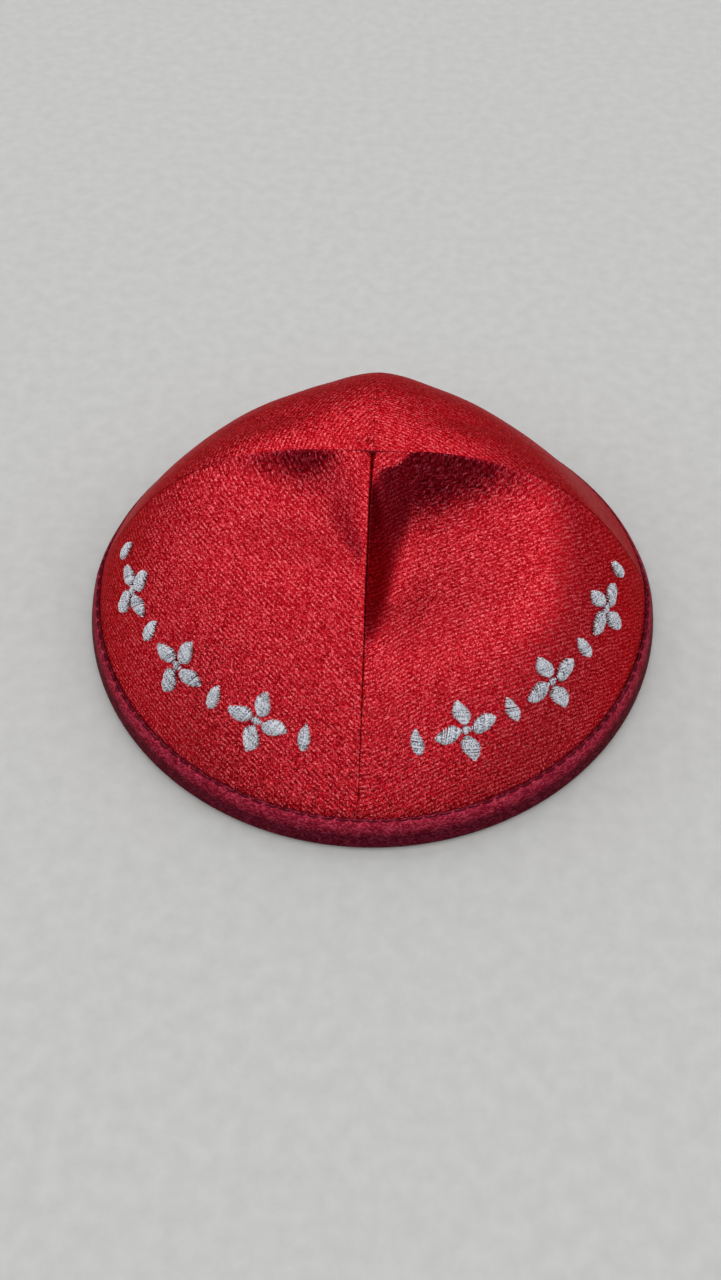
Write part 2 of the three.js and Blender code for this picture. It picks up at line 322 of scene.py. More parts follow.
def slopes_of(form, x, y):
    """Slopes of a form along X and Y, by differences on one side of the seams and inside the rim."""
    step = SLOPE_STEP
    radius = np.hypot(x, y)
    shrink = np.minimum(1, (EDGE_RADIUS - step) / np.maximum(radius, step))
    inner_x = np.where(x < 0, -1, 1) * np.maximum(np.abs(x * shrink), step)
    inner_y = np.where(y < 0, -1, 1) * np.maximum(np.abs(y * shrink), step)
    slope_x = (form(inner_x + step / 2, inner_y) - form(inner_x - step / 2, inner_y)) / step
    slope_y = (form(inner_x, inner_y + step / 2) - form(inner_x, inner_y - step / 2)) / step
    return slope_x, slope_y


def wall_slopes(x, y):
    """Slopes of the wall along X and Y."""
    return slopes_of(wall_height, x, y)


def painted_fold_shade(x, y):
    """How far painted shade darkens the cloth where a dent drops from the front seam or the ridge.

    It is a smooth step, 3 share ** 2 - 2 share ** 3, over the slope of the drop.
    """
    slope_x, slope_y = slopes_of(dents, x, y)
    from_seam = np.maximum(slope_x * np.sign(x), 0)
    from_ridge = np.maximum(-slope_y, 0)
    steepness = np.hypot(from_seam, from_ridge)
    share = (steepness - PAINTED_SHADE_SLOPES["start"]) / (PAINTED_SHADE_SLOPES["full"] - PAINTED_SHADE_SLOPES["start"])
    share = np.clip(share, 0, 1)
    return share**2 * (3 - 2 * share)


def seam_distances(x, y):
    """Distances along the cloth to the seam of the panel's front or back, and to the ridge seam."""
    slope_x, slope_y = wall_slopes(x, y)
    return np.abs(x) * np.sqrt(1 + slope_x**2), np.abs(y) * np.sqrt(1 + slope_y**2)


def seam_amounts(table, x, y):
    """Amounts of a seam table at the seam of the panel's front or back, and at the ridge seam.

    The amount at the front seam fades in proportion to the way to the rim.
    """
    front = table["front"] * (1 - table["front_fade"] * way_to_rim(x, y))
    at_seam = np.where(y < 0, front, table["back"])
    at_ridge = np.where(y < 0, table["ridge_front"], table["ridge_back"])
    return at_seam, at_ridge


def soft_waves(x, y):
    """Sum of sine waves, each along its own direction, whose crests swing in a slower sine across it."""
    height = np.zeros_like(x)
    for wave in WAVES:
        along = x * math.cos(wave["direction"]) + y * math.sin(wave["direction"])
        aside = y * math.cos(wave["direction"]) - x * math.sin(wave["direction"])
        bend = WAVE_BEND["angle"] * np.sin(FULL * aside / (WAVE_BEND["lengths"] * wave["length"]))
        height += wave["height"] * np.sin(FULL * along / wave["length"] + bend + wave["phase"])
    return height


def back_hollows(x, y):
    """Depth of the tucks and hollows behind the ridge: a bell, exp(-r ** 2), for each."""
    depth = np.zeros_like(x)
    for hollow in BACK_HOLLOWS:
        aside = (x - hollow["x"]) / hollow["half_width"]
        along = (y - hollow["y"]) / hollow["half_length"]
        depth += hollow["depth"] * np.exp(-(aside**2) - along**2)
    return depth


def cloth_relief(x, y):
    """Small rise and fall of the cloth on the wall.

    Beside a seam the cloth is pulled down, fading with an exponential of the distance, and puckers in a
    drifting sine along the seam. Above the binding it puckers with the stitches. Behind the ridge it has a
    few hollows, and soft waves lie between the seams.
    """
    to_seam, to_ridge = seam_distances(x, y)
    seam_pull, ridge_pull = seam_amounts(SEAM_PULL, x, y)
    pull = seam_pull * np.exp(-to_seam / SEAM_PULL_WIDTH)
    pull = pull + ridge_pull * np.exp(-to_ridge / SEAM_PULL_WIDTH)

    along_seam = FULL * y / SEAM_PUCKER["pitch"]
    drift = SEAM_PUCKER["drift"] * np.sin(along_seam / SEAM_PUCKER["drift_pitches"])
    pucker = SEAM_PUCKER["height"] * np.sin(along_seam + drift) * np.exp(-to_seam / SEAM_PUCKER["width"])

    radius = np.hypot(x, y)
    turn = np.arctan2(y, x)
    above_binding = np.maximum(EDGE_RADIUS - LEAF_LENGTH / 2 - radius, 0)
    beat_size = RIM_PUCKER["mean"] + RIM_PUCKER["swing"] * np.sin(RIM_PUCKER["swings"] * turn)
    rim_beat = np.cos(STITCH_COUNT * turn) * beat_size
    rim_pucker = RIM_PUCKER["height"] * rim_beat * np.exp(-above_binding / RIM_PUCKER["width"])

    nearest = np.minimum(np.minimum(to_seam, to_ridge), np.maximum(EDGE_RADIUS - radius, 0))
    waves = soft_waves(x, y) * dropped(nearest, WAVE_FADE, 2)
    return waves + pucker + rim_pucker - pull - back_hollows(x, y)


def rolled_edge(distance, radius):
    """Drop of a rolled edge: a quarter circle that starts at its radius from the seam."""
    inside = 1 - np.minimum(distance / radius, 1)
    return radius * (1 - np.sqrt(1 - inside**2))


def face_height(x, y, side):
    """Height of the outer (side 1) or inner (side -1) face.

    It lies half the wall off the middle, square to the slope, and the outer face rolls in at the seams.
    """
    slope_x, slope_y = wall_slopes(x, y)
    upright = np.minimum(np.sqrt(1 + slope_x**2 + slope_y**2), STEEPEST)
    roll = 0
    if side > 0:
        to_seam, to_ridge = seam_distances(x, y)
        seam_roll, ridge_roll = seam_amounts(SEAM_ROLL, x, y)
        roll = np.maximum(rolled_edge(to_seam, seam_roll), rolled_edge(to_ridge, ridge_roll))
    return wall_height(x, y) + cloth_relief(x, y) + (side * HALF_WALL - roll) * upright


# Meshes


def grid_triangles(index):
    """Two triangles for each cell of a grid, or of a row of grids, of point numbers."""
    a, b = index[..., :-1, :-1].ravel(), index[..., :-1, 1:].ravel()
    c, d = index[..., 1:, 1:].ravel(), index[..., 1:, :-1].ravel()
    return np.concatenate([np.stack([a, b, c], 1), np.stack([a, c, d], 1)])


def points_around(turn, radius, height):
    """Points, or directions, at a turn about the crown with a part outwards and a part upwards."""
    return np.stack([radius * np.cos(turn), radius * np.sin(turn), height], -1)


def unit(vectors):
    """Vectors of length 1 in the same directions."""
    return vectors / np.linalg.norm(vectors, axis=-1, keepdims=True)


def cloth_piece(name, plan_points, triangles, uv, materials, same_as, slots=None, painted_shade=None):
    """A smooth mesh at the origin that rides on the cap, with its flat cloth as UV map.

    The points over the round plan go into the cap's own plan: Y is shrunk behind the ridge and shifted.
    Each point is first welded onto its twin in same_as, and triangles that this closes are dropped.
    The faces are turned so that the volume inside them, a sum over the triangles, is positive.
    Slots number the triangles' materials, and the painted shade of the points is kept as an attribute.
    """
    points = plan_points.copy()
    points[:, 1] = np.where(points[:, 1] > 0, BACK_SHARE, 1) * points[:, 1] + PLAN_SHIFT
    if slots is None:
        slots = np.zeros(len(triangles), int)
    kept, number = np.unique(same_as, return_inverse=True)
    corners = number[triangles]
    first, second, third = corners.T
    whole = (first != second) & (second != third) & (third != first)
    corners, corner_uv, slots = corners[whole], triangles[whole], slots[whole]
    welded = points[kept]
    a, b, c = (welded[corner] for corner in corners.T)
    if np.sum(a * np.cross(b, c)) < 0:
        corners, corner_uv = corners[:, ::-1], corner_uv[:, ::-1]

    mesh = bpy.data.meshes.new(name)
    mesh.vertices.add(len(welded))
    mesh.vertices.foreach_set("co", welded.astype(np.float32).ravel())
    mesh.loops.add(corners.size)
    mesh.loops.foreach_set("vertex_index", corners.astype(np.int32).ravel())
    mesh.polygons.add(len(corners))
    mesh.polygons.foreach_set("loop_start", np.arange(0, corners.size, 3, dtype=np.int32))
    mesh.polygons.foreach_set("material_index", slots.astype(np.int32))
    mesh.polygons.foreach_set("use_smooth", np.ones(len(corners), bool))
    layer = mesh.uv_layers.new(name="cloth")
    layer.data.foreach_set("uv", uv[corner_uv.ravel()].astype(np.float32).ravel())
    if painted_shade is not None:
        attribute = mesh.attributes.new("painted_shade", "FLOAT", "POINT")
        attribute.data.foreach_set("value", painted_shade[kept].astype(np.float32))
    for material in materials:
        mesh.materials.append(material)
    mesh.update(calc_edges=True)
    mesh.set_sharp_from_angle(angle=SHARP_ANGLE)

    piece = bpy.data.objects.new(name, mesh)
    bpy.context.scene.collection.objects.link(piece)
    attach(piece, "root")
    return piece


# Panels


def panel_plan(side_x, side_y):
    """Plan of one panel: rays from the crown, from the ridge seam to the other one, in rows to the rim.

    The turn of a ray is a quarter turn times (share - spread * sin(2 pi share) / 2 pi). The distance along
    it is 1 - (1 - share ** crown_spread) ** rim_spread of its length.
    """
    share = np.linspace(0, 1, COLUMNS + 1)
    turn = QUARTER * (share - COLUMN_SPREAD * np.sin(FULL * share) / FULL)
    length = EDGE_RADIUS - EDGE_GAP - SEAM_GAP
    row_share = np.linspace(0, 1, ROWS + 1)[:, None]
    distance = length * (1 - (1 - row_share**CROWN_SPREAD) ** RIM_SPREAD)
    x = side_x * (SEAM_GAP + distance * np.cos(turn))
    y = side_y * (SEAM_GAP + distance * np.sin(turn))
    return x, y, np.broadcast_to(turn, x.shape)


def gore_map(x, y, z, turn, grain):
    """The panel laid flat and turned by the grain.

    Each ray keeps its length and lies at a share of its turn from the middle ray.
    """
    points = np.stack([x, y, z], -1)
    steps = np.linalg.norm(np.diff(points, axis=0), axis=-1)
    length = np.concatenate([np.zeros((1, x.shape[1])), np.cumsum(steps, axis=0)])
    flat_turn = GORE_SHARE * (turn - QUARTER / 2)
    across, down = length * np.sin(flat_turn), length * np.cos(flat_turn)
    return np.stack([
        across * math.cos(grain) - down * math.sin(grain),
        across * math.sin(grain) + down * math.cos(grain),
    ], -1)


def make_panel(name, side_x, side_y, grain, materials):
    """One panel as a closed wall: an outer and an inner face, joined along the seams and the lower edge."""
    x, y, turn = panel_plan(side_x, side_y)
    outer = face_height(x, y, 1)
    inner = np.minimum(face_height(x, y, -1), outer - LEAST_WALL)
    uv = gore_map(x, y, outer, turn, grain)
    points = np.concatenate([np.stack([x, y, z], -1).reshape(-1, 3) for z in (outer, inner)])
    count = x.size
    out = np.arange(count).reshape(x.shape)
    inn = out + count
    out_faces = grid_triangles(out)
    other_faces = np.concatenate([
        grid_triangles(inn[:, ::-1]),
        grid_triangles(np.stack([inn[:, 0], out[:, 0]], 1)),
        grid_triangles(np.stack([out[:, -1], inn[:, -1]], 1)),
        grid_triangles(np.stack([out[-1], inn[-1]], 0)),
    ])
    same_as = np.arange(2 * count)
    same_as[out[0]] = out[0, 0]
    same_as[inn[0]] = inn[0, 0]
    slots = np.concatenate([np.zeros(len(out_faces), int), np.ones(len(other_faces), int)])
    # the points carry the painted shade of the dents as an attribute
    piece = cloth_piece(
        name + "_cloth", points, np.concatenate([out_faces, other_faces]),
        np.tile(uv.reshape(-1, 2), (2, 1)), materials, same_as,
        slots, np.tile(painted_fold_shade(x, y).ravel(), 2),
    )
    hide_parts(name)


# Binding


def rim_wall(turn, from_rim):
    """Radius, height and slope angle of the wall's middle at a turn, at a distance in from the rim."""
    step = SLOPE_STEP / 2
    radius = EDGE_RADIUS - from_rim
    outer = np.minimum(radius + step, EDGE_RADIUS)
    inner = radius - step
    angle = np.arctan2(height_around(turn, inner) - height_around(turn, outer), outer - inner)
    return radius, height_around(turn, radius), angle


def leaf_end(turn):
    """How far in from the rim the leaves end: their length past the roll runs up the slope behind it."""
    near = height_around(turn, EDGE_RADIUS - ROLL_END)
    far = height_around(turn, EDGE_RADIUS - 2 * ROLL_END)
    slope = (far - near) / ROLL_END
    return LEAF_PAST_ROLL / np.hypot(1, slope)


def leaf_point(turn, share, offset):
    """Radius and height of a point off the wall, square to it, at a share of the leaf from the edge up.

    The slope angle of the wall there goes with them.
    """
    radius, height, angle = rim_wall(turn, share * leaf_end(turn))
    return radius + offset * np.sin(angle), height + offset * np.cos(angle), angle


def stitch_dip(turn, share):
    """Dent of the tape at the topstitching: a bell across the stitch line, deeper at each needle hole."""
    from_line = (share - STITCH_SHARE) * LEAF_PAST_ROLL / STITCH_GROOVE["half_width"]
    at_hole = (0.5 + 0.5 * np.cos(STITCH_COUNT * turn)) ** STITCH_GROOVE["hole_power"]
    depth = STITCH_GROOVE["depth"] + STITCH_GROOVE["hole_depth"] * at_hole
    return depth * np.exp(-(from_line**2))


def behind_ridge(turn):
    """The sine of the turn over from_ridge, held between 0 in front of the ridge and 1 behind it."""
    return np.clip(np.sin(turn) / BACK_PRESS["from_ridge"], 0, 1)


def tape_outside(turn, share):
    """How far the tape's outer face lies off the wall's middle.

    It falls with a power of the share from the fold's radius to the thin stitched edge. Behind the ridge
    the edge is pressed thinner, and the power is less by 1.
    """
    behind = behind_ridge(turn)
    left = 1 - BACK_PRESS["share"] * behind
    flat = HALF_WALL + TAPE_THICKNESS * left
    puff = (FOLD_RADIUS - flat) * (1 - np.clip(share, 0, 1) ** (TAPE_PUFF - behind))
    return flat + puff - stitch_dip(turn, share) * left


def tape_section(turn):
    """Radius and height of the folded tape's closed section at each turn.

    The outer leaf follows the panel at tape_outside, the fold is an arc of FOLD_RADIUS with a flat under
    it, the inner leaf follows the other face, and the section goes back along the panel on both sides.
    """
    edge_swing = 1 + TAPE_EDGE_SWING * np.cos(STITCH_COUNT * turn)
    shares = {part: np.linspace(0, 1, steps + 1)[None, :] for part, steps in TAPE_STEPS.items()}

    down = shares["outer_leaf"][:, :0:-1] * edge_swing
    outer_leaf = leaf_point(turn, down, tape_outside(turn, down))

    slope = rim_wall(turn, 0 * turn)[2]
    fold_start = QUARTER - slope
    flat_start = STANDING_HALF_ANGLE - QUARTER
    flat_end = -QUARTER - STANDING_HALF_ANGLE
    fold_end = -QUARTER - slope
    outer_fold = fold_start + (flat_start - fold_start) * shares["outer_fold"]
    under_fold = flat_end + (fold_end - flat_end) * shares["under_fold"]
    arc = np.concatenate([outer_fold, under_fold], 1)
    fold = EDGE_RADIUS + FOLD_RADIUS * np.cos(arc), EDGE_HEIGHT + FOLD_RADIUS * np.sin(arc)

    up = shares["inner_leaf"][:, 1:] + 0 * turn
    flat = HALF_WALL + TAPE_THICKNESS
    inner_leaf = leaf_point(turn, up, -(flat + (FOLD_RADIUS - flat) * (1 - up)))
    clear = HALF_WALL + TAPE_CLEARANCE
    back_down = leaf_point(turn, up[:, ::-1], -clear)
    back_up = leaf_point(turn, shares["inner_leaf"] * edge_swing, clear)
    closing = outer_leaf[0][:, :1], outer_leaf[1][:, :1]

    parts = (outer_leaf, fold, inner_leaf, back_down, back_up, closing)
    return [np.concatenate([part[axis] for part in parts], 1) for axis in (0, 1)]


def make_binding(material):
    """The folded tape: its section carried round the rim."""
    steps = STITCH_COUNT * STEPS_PER_STITCH
    turn = np.linspace(0, FULL, steps + 1)[:, None]
    radius, height = tape_section(turn)
    points = points_around(turn, radius, height)
    along = turn * RIM_RADIUS + 0 * radius
    across = np.concatenate([
        np.zeros((steps + 1, 1)),
        np.cumsum(np.hypot(np.diff(radius, axis=1), np.diff(height, axis=1)), 1),
    ], 1)
    index = np.arange(radius.size).reshape(radius.shape)
    same_as = index.copy()
    same_as[-1] = same_as[0]
    same_as[:, -1] = same_as[:, 0]
    piece = cloth_piece(
        "rim_binding_tape", points.reshape(-1, 3), grid_triangles(index),
        np.stack([along, across], -1).reshape(-1, 2), [material], same_as.ravel(),
    )
    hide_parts("rim_binding")


# Threads


def thread_mesh(name, centre, side, normal, radius, tone, material):
    """Many short threads as one mesh.

    centre is an array of threads by steps. Each step carries a round section in the plane of side and
    normal. It swells as the root of 1 - (2 share - 1) ** THREAD_END_POWER, from a point at both ends.
    """
    count, steps = centre.shape[:2]
    angle = np.linspace(0, FULL, THREAD_SIDES + 1)
    ring = np.cos(angle)[:, None] * side[:, :, None] + np.sin(angle)[:, None] * normal[:, :, None]
    share = np.linspace(0, 1, steps)
    swell = np.sqrt(np.maximum(1 - (2 * share - 1) ** THREAD_END_POWER, 0))
    points = centre[:, :, None] + radius * swell[None, :, None, None] * ring
    index = np.arange(points.size // 3).reshape(points.shape[:3])
    same_as = index.copy()
    same_as[:, :, -1] = same_as[:, :, 0]
    same_as[:, 0] = same_as[:, 0, :1]
    same_as[:, -1] = same_as[:, -1, :1]
    length = np.linalg.norm(centre[:, -1] - centre[:, 0], axis=-1)
    along = share[None, :, None] * length[:, None, None] + 0 * angle
    shade = tone[:, None, None] + 0 * along
    uv = np.stack([along, shade], -1).reshape(-1, 2)
    return cloth_piece(name, points.reshape(-1, 3), grid_triangles(index), uv, [material], same_as.ravel())


def make_topstitching(material):
    """Stitches of the binding: short threads along the stitch line.

    A stitch rises off the tape and dips into a needle hole at both ends, with a power of the share.
    """
    share = np.linspace(-STITCH_FORM["half_length"], STITCH_FORM["half_length"], THREAD_STEPS + 1)
    turn = (np.arange(STITCH_COUNT)[:, None] + 0.5 + share) * FULL / STITCH_COUNT
    dip = STITCH_FORM["dip"] * (2 * share) ** STITCH_FORM["dip_power"]
    lift = tape_outside(turn, STITCH_SHARE) + STITCH_RADIUS * (STITCH_FORM["rise"] - dip)
    lift = lift - BACK_PRESS["stitches"] * behind_ridge(turn)
    radius, height, angle = leaf_point(turn, STITCH_SHARE, lift)
    centre = points_around(turn, radius, height)
    normal = points_around(turn, np.sin(angle), np.cos(angle))
    ahead = np.stack([-np.sin(turn), np.cos(turn), 0 * turn], -1)
    side = np.cross(normal, ahead)
    tone = np.random.default_rng(STITCH_SEED).random(STITCH_COUNT)
    piece = thread_mesh("rim_topstitching", centre, side, normal, STITCH_RADIUS, tone, material)


def cloth_point(turn, up, lift):
    """Point off the outer face, at a turn about the crown and a way up the cloth, and the normal there."""
    rise = height_around(turn, ORNAMENT_BASE - ORNAMENT_REACH) - height_around(turn, ORNAMENT_BASE)
    radius = ORNAMENT_BASE - up * np.cos(np.arctan2(rise, ORNAMENT_REACH))
    x, y = radius * np.cos(turn), radius * np.sin(turn)
    slope_x, slope_y = wall_slopes(x, y)
    normal = unit(np.stack([-slope_x, -slope_y, np.ones_like(x)], -1))
    return np.stack([x, y, face_height(x, y, 1)], -1) + lift[..., None] * normal, normal


def leaf_stitches(length, half_width, start, heading, slant):
    """Ends of a leaf's satin stitches: slanted across its axis, as wide as a power of a sine along it."""
    count = int(length / THREAD_PITCH)
    along = (np.arange(count) + 0.5) / count
    width = half_width * np.sin(math.pi * along ** LEAF_FORM["skew"]) ** LEAF_FORM["fullness"]
    axis = np.array([math.cos(heading), math.sin(heading)])
    square = np.array([-axis[1], axis[0]])
    middle = start + (along * length)[:, None] * axis
    lean = width[:, None] * (square + slant * axis)
    return np.concatenate([middle - lean, middle + lean], 1)


def rosette():
    """Four leaves round a small middle."""
    blocks = []
    for heading in QUARTER * np.arange(4):
        start = ROSETTE["leaf_start"] * np.array([math.cos(heading), math.sin(heading)])
        blocks.append(leaf_stitches(
            ROSETTE["leaf_length"], ROSETTE["leaf_half_width"], start, heading, ROSETTE["slant"],
        ))
    half = ROSETTE["middle"] / 2
    blocks.append(leaf_stitches(2 * half, half, np.array([-half, 0]), 0.0, 0.0))
    return np.concatenate(blocks)


def lozenge():
    """One small leaf that stands upright."""
    start = np.array([0, -LOZENGE["length"] / 2])
    return leaf_stitches(LOZENGE["length"], LOZENGE["half_width"], start, QUARTER, LOZENGE["slant"])


def make_embroidery(material):
    """A row of lozenges and rosettes on the front panels, in satin stitch that stands up from the cloth.

    A stitch arches as a power of 1 - (2 share - 1) ** arch_power, and a short one stands up less.
    """
    ornaments = []
    for side in (-1, 1):
        for number in range(ORNAMENTS["count"]):
            degrees = ORNAMENTS["first"] + number * ORNAMENTS["step"]
            shape = lozenge() if number % 2 == 0 else rosette()
            ornaments.append((-QUARTER + side * math.radians(degrees), shape))
    ends = np.concatenate([shape for _, shape in ornaments])
    middle_turn = np.concatenate([np.full(len(shape), turn) for turn, shape in ornaments])
    draw = np.random.default_rng(EMBROIDERY_SEED)
    ends = ends + draw.normal(0, SATIN_STITCH["end_spread"], ends.shape)
    share = np.linspace(0, 1, THREAD_STEPS + 1)
    flat = ends[:, None, :2] * (1 - share)[:, None] + ends[:, None, 2:] * share[:, None]
    length = np.linalg.norm(ends[:, 2:] - ends[:, :2], axis=1)
    full = np.minimum(length / SATIN_STITCH["full_length"], 1)[:, None]
    arch = (1 - (2 * share - 1) ** SATIN_STITCH["arch_power"]) ** SATIN_STITCH["arch_fullness"]
    lift = THREAD_RADIUS * (SATIN_STITCH["rise"] * arch - SATIN_STITCH["sink"])
    lift = lift + SATIN_STITCH["lift"] * full * arch
    lift = lift + draw.normal(0, SATIN_STITCH["lift_spread"], (len(ends), 1))
    turn = middle_turn[:, None] + flat[..., 0] / ORNAMENT_RADIUS
    centre, out = cloth_point(turn, ORNAMENT_UP + flat[..., 1], lift)
    ahead = unit(np.gradient(centre, axis=1))
    across = unit(np.cross(out, ahead))
    tone = draw.random(len(ends))
    normal = np.cross(ahead, across)
    piece = thread_mesh("front_embroidery", centre, across, normal, THREAD_RADIUS, tone, material)


# Finishes


def set_stops(colour_ramp, stops):
    """Set the stops of a colour ramp, each a position and a colour."""
    elements = colour_ramp.elements
    while len(elements) < len(stops):
        elements.new(0.5)
    for element, (position, colour) in zip(elements, stops):
        element.position = position
        element.color = (*colour, 1)


class Finish:
    """A node material: its shader's sockets are set by name, and nodes are made and linked in one call."""

    def __init__(self, name, **sockets):
        self.material = bpy.data.materials.new(name)
        self.material.use_nodes = True
        self.tree = self.material.node_tree
        self.shader = self.tree.nodes["Principled BSDF"]
        for socket, value in sockets.items():
            self.shader.inputs[socket.replace("_", " ")].default_value = value

    def feed(self, socket, value):
        """Link a socket to another one, or set its value."""
        if isinstance(value, bpy.types.NodeSocket):
            self.tree.links.new(value, socket)
        else:
            socket.default_value = value

    def node(self, kind, settings=None, **inputs):
        """A new node with its settings and inputs."""
        made = self.tree.nodes.new("ShaderNode" + kind)
        for key, value in (settings or {}).items():
            setattr(made, key, value)
        for socket, value in inputs.items():
            self.feed(made.inputs[socket], value)
        return made

    def worked_out(self, kind, operation, *values):
        """Result of a sum on numbers or on vectors, fed in order."""
        made = self.node(kind, {"operation": operation})
        for socket, value in zip(made.inputs, values):
            self.feed(socket, value)
        return made.outputs[0]

    def weighted(self, *terms):
        """Sum of values, each times its weight."""
        total = 0.0
        for value, weight in terms:
            term = self.worked_out("Math", "MULTIPLY", value, weight)
            total = self.worked_out("Math", "ADD", total, term)
        return total

    def wave(self, value, rate):
        """Sine of a value times a rate."""
        return self.worked_out("Math", "SINE", self.worked_out("Math", "MULTIPLY", value, rate))

    def cloth_map(self, scale):
        """Place on the flat cloth, scaled."""
        source = self.node("UVMap", {"uv_map": "cloth"})
        return self.node("Mapping", Vector=source.outputs["UV"], Scale=scale).outputs["Vector"]

    def cloth_place(self, scale):
        """The two numbers of the place on the flat cloth, scaled."""
        parts = self.node("SeparateXYZ", Vector=self.cloth_map(scale)).outputs
        return parts["X"], parts["Y"]

    def noise(self, scale, detail):
        """Soft noise over the flat cloth."""
        made = self.node(
            "TexNoise", {"noise_dimensions": "2D"}, Vector=self.cloth_map(scale), Scale=1.0, Detail=detail,
        )
        return made.outputs["Fac"]

    def cells(self, scale, randomness):
        """A chance colour for each cell of the flat cloth and a dome over it."""
        made = self.node(
            "TexVoronoi", {"voronoi_dimensions": "2D"},
            Vector=self.cloth_map(scale), Scale=1.0, Randomness=randomness,
        )
        return made.outputs["Color"], self.worked_out("Math", "SUBTRACT", 1.0, made.outputs["Distance"])

    def tone(self, colour):
        """One number of a chance colour."""
        return self.node("SeparateColor", Color=colour).outputs["Red"]

    def ramp(self, value, stops):
        """Colour of a value between stops."""
        made = self.node("ValToRGB", Fac=value)
        set_stops(made.color_ramp, stops)
        return made.outputs["Color"]

    def times(self, colour, share):
        """A colour times another one."""
        return self.worked_out("VectorMath", "MULTIPLY", colour, share)

    def paint(self, colour):
        """Set the surface's colour."""
        self.feed(self.shader.inputs["Base Color"], colour)

    def bump(self, height, distance, strength):
        """Raise the surface by a height pattern."""
        made = self.node("Bump", Height=height, Distance=distance, Strength=strength)
        self.feed(self.shader.inputs["Normal"], made.outputs["Normal"])
        return made.outputs["Normal"]

    def tilt(self, normal, colour, amount):
        """Tilt the surface of each cell by its chance colour."""
        aside = self.worked_out("VectorMath", "SUBTRACT", colour, MID_CHANCE)
        tilted = self.worked_out("VectorMath", "MULTIPLY_ADD", aside, (amount, amount, amount), normal)
        self.feed(self.shader.inputs["Normal"], self.worked_out("VectorMath", "NORMALIZE", tilted))


def satin_finish():
    """Red satin: short floats in slanting rows and finer glints, each with its own tone and tilt.

    Its colour is darkened by painted shade where a dent drops steeply.
    """
    finish = Finish(
        "red_satin", Metallic=0.85, Roughness=0.35,
        Specular_IOR_Level=0.03, Specular_Tint=(0.55, 0.04, 0.06, 1),
    )
    float_colour, float_dome = finish.cells((1 / FLOAT_PITCH, 2 / ROW_PITCH, 1), 0.9)
    glint_colour, glint_dome = finish.cells((1 / GLINT_PITCH, 1 / GLINT_PITCH, 1), 1.0)
    _, down = finish.cloth_place(CLOTH_SCALE)
    rows = finish.wave(down, FULL / ROW_PITCH)
    mixed = finish.weighted(
        (finish.tone(float_colour), 0.12),
        (finish.tone(glint_colour), 0.5),
        (glint_dome, 0.33),
        (rows, 0.09),
    )
    colour = finish.ramp(mixed, [
        (0.18, (0.26, 0.001, 0.004)),
        (0.52, (0.55, 0.010, 0.021)),
        (0.72, (0.84, 0.064, 0.084)),
        (0.90, (1.0, 0.28, 0.31)),
    ])
    # painted shade: the colour is darkened where a dent drops steeply, standing in for the shade in the
    # dents
    painted_shade = finish.node("Attribute", {"attribute_name": "painted_shade"}).outputs["Fac"]
    painted_shade_tint = finish.ramp(painted_shade, [(0.0, (1.0, 1.0, 1.0)), (1.0, (0.48, 0.32, 0.5))])
    finish.paint(finish.times(colour, painted_shade_tint))
    relief = finish.bump(finish.weighted((float_dome, 0.35), (rows, 0.2)), 0.12 * MM, 0.4)
    finish.tilt(relief, glint_colour, 0.35)
    return finish.material


def satin_back_finish():
    """The dull back of the satin."""
    finish = Finish("red_satin_back", Roughness=0.8, Specular_IOR_Level=0.2)
    weave = finish.noise(SATIN_BACK_WEAVE, 2.0)
    finish.paint(finish.ramp(weave, [(0.3, (0.16, 0.003, 0.008)), (0.7, (0.30, 0.008, 0.018))]))
    finish.bump(weave, 0.1 * MM, 0.4)
    return finish.material


def binding_finish():
    """Wine red satin tape with fine floats along it, with painted shade from partway down its outer leaf
    and round the edge.
    """
    finish = Finish(
        "wine_satin_tape", Metallic=0.6, Roughness=0.45,
        Specular_IOR_Level=0.1, Specular_Tint=(0.4, 0.06, 0.12, 1),
    )
    float_colour, float_dome = finish.cells(TAPE_FLOATS, 1.0)
    slubs = finish.noise(TAPE_SLUBS, 2.0)
    colour = finish.ramp(finish.weighted((finish.tone(float_colour), 0.6), (slubs, 0.4)), [
        (0.1, (0.15, 0.003, 0.015)),
        (0.5, (0.35, 0.016, 0.042)),
        (0.85, (0.68, 0.072, 0.130)),
    ])
    _, across = finish.cloth_place((1, 1 / LEAF_LENGTH, 1))
    # painted shade: the tape is darkened from partway down its outer leaf onwards, round the fold, standing
    # in for the shade on its face
    painted_face_shade = finish.ramp(across, [(0.36, (1.0, 1.0, 1.0)), (0.62, (0.34, 0.38, 0.42))])
    finish.paint(finish.times(colour, painted_face_shade))
    relief = finish.bump(float_dome, 0.06 * MM, 0.4)
    finish.tilt(relief, float_colour, 0.35)
    return finish.material


def thread_finish(name, dark, light, **sockets):
    """Sewing thread: a tone for each thread, and specks and a twist along it."""
    finish = Finish(name, **sockets)
    along, shade = finish.cloth_place(CLOTH_SCALE)
    twist = finish.wave(along, THREAD_TWIST)
    specks = finish.noise(THREAD_SPECKS, 1.0)
    tone = finish.weighted((shade, 0.3), (specks, 1.2), (twist, 0.08))
    finish.paint(finish.ramp(tone, [(0.45, dark), (0.85, light)]))
    finish.bump(twist, 0.05 * MM, 0.3)
    return finish.material


def dark_red_thread():
    """Sewing thread of the topstitching."""
    dark, light = (0.045, 0.002, 0.007), (0.110, 0.006, 0.018)
    return thread_finish("dark_red_thread", dark, light, Roughness=0.6, Specular_IOR_Level=0.05)


def silver_thread():
    """Embroidery thread."""
    dark, light = (0.12, 0.13, 0.18), (0.88, 0.91, 1.0)
    return thread_finish("silver_thread", dark, light, Metallic=0.2, Roughness=0.3)


# Stage


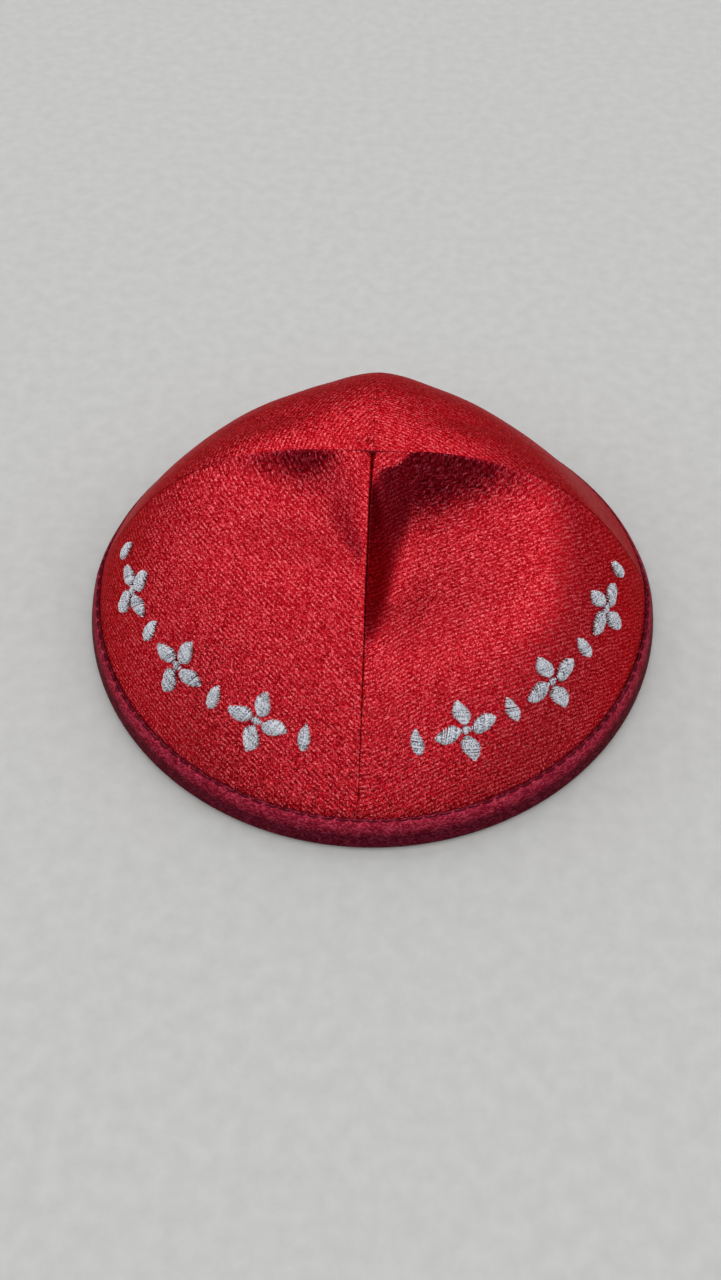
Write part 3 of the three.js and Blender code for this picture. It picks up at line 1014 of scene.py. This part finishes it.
def make_floor():
    """A plain pale floor."""
    half = FLOOR_HALF
    corners = [(-half, -half, 0), (half, -half, 0), (half, half, 0), (-half, half, 0)]
    mesh = bpy.data.meshes.new("floor")
    mesh.from_pydata(corners, [], [(0, 1, 2, 3)])
    finish = Finish("pale_floor", Roughness=0.7)
    place = finish.node("TexCoord").outputs["Object"]
    grain = finish.node("TexNoise", Vector=place, Scale=FLOOR_GRAIN, Detail=4.0).outputs["Fac"]
    finish.paint(finish.ramp(grain, [(0.3, (0.61, 0.625, 0.63)), (0.7, (0.67, 0.685, 0.69))]))
    finish.bump(grain, 0.4 * MM, 0.3)
    mesh.materials.append(finish.material)
    floor = bpy.data.objects.new("floor", mesh)
    bpy.context.scene.collection.objects.link(floor)


def add_soft_light(name, bearing, elevation, width, depth, power):
    """A soft box that faces the cap."""
    data = bpy.data.lights.new(name, "AREA")
    data.shape = "RECTANGLE"
    data.size = width
    data.size_y = depth
    data.energy = power
    data.color = LIGHT_COLOUR
    turn, rise = math.radians(bearing), math.radians(elevation)
    towards = Vector((math.sin(turn) * math.cos(rise), -math.cos(turn) * math.cos(rise), math.sin(rise)))
    light = bpy.data.objects.new(name, data)
    light.location = LIGHT_DISTANCE * towards
    light.rotation_euler = towards.to_track_quat("Z", "Y").to_euler()
    bpy.context.scene.collection.objects.link(light)


def make_room():
    """Soft light from all round, as in a light tent that is open and dim low at the front."""
    world = bpy.data.worlds.new("room")
    world.use_nodes = True
    nodes, links = world.node_tree.nodes, world.node_tree.links
    towards = nodes.new("ShaderNodeTexCoord").outputs["Generated"]
    facing = nodes.new("ShaderNodeVectorMath")
    facing.operation = "DOT_PRODUCT"
    facing.inputs[1].default_value = DIM_SIDE
    links.new(towards, facing.inputs[0])
    tone = nodes.new("ShaderNodeValToRGB")
    links.new(facing.outputs["Value"], tone.inputs["Fac"])
    stops = [(position, [level * part for part in ROOM_TINT]) for position, level in ROOM_TONES]
    set_stops(tone.color_ramp, stops)
    links.new(tone.outputs["Color"], nodes["Background"].inputs["Color"])
    nodes["Background"].inputs["Strength"].default_value = ROOM_STRENGTH
    bpy.context.scene.world = world


def make_camera():
    """A camera on the middle of the ridge's foot, which its shift sets off the picture's middle."""
    data = bpy.data.cameras.new("camera")
    data.lens = data.sensor_width * FOCAL_PIXELS / FRAME_HEIGHT
    data.shift_x = -RIM_CENTRE_RIGHT / FRAME_HEIGHT
    data.shift_y = -RIM_CENTRE_UP / FRAME_HEIGHT
    camera = bpy.data.objects.new("camera", data)
    camera.location = (
        VIEW_DISTANCE * math.cos(VIEW_PITCH) * math.sin(VIEW_YAW),
        PLAN_SHIFT - VIEW_DISTANCE * math.cos(VIEW_PITCH) * math.cos(VIEW_YAW),
        VIEW_DISTANCE * math.sin(VIEW_PITCH),
    )
    camera.rotation_euler = (QUARTER - VIEW_PITCH, 0, VIEW_YAW)
    bpy.context.scene.collection.objects.link(camera)
    bpy.context.scene.camera = camera


# The cap and its stage

panel_materials = [satin_finish(), satin_back_finish()]
for panel in PANELS:
    make_panel(**panel, materials=panel_materials)
make_binding(binding_finish())
make_topstitching(dark_red_thread())
make_embroidery(silver_thread())

make_floor()
make_room()
for soft_light in SOFT_LIGHTS:
    add_soft_light(**soft_light)
make_camera()
bpy.context.scene.view_settings.view_transform = "Standard"
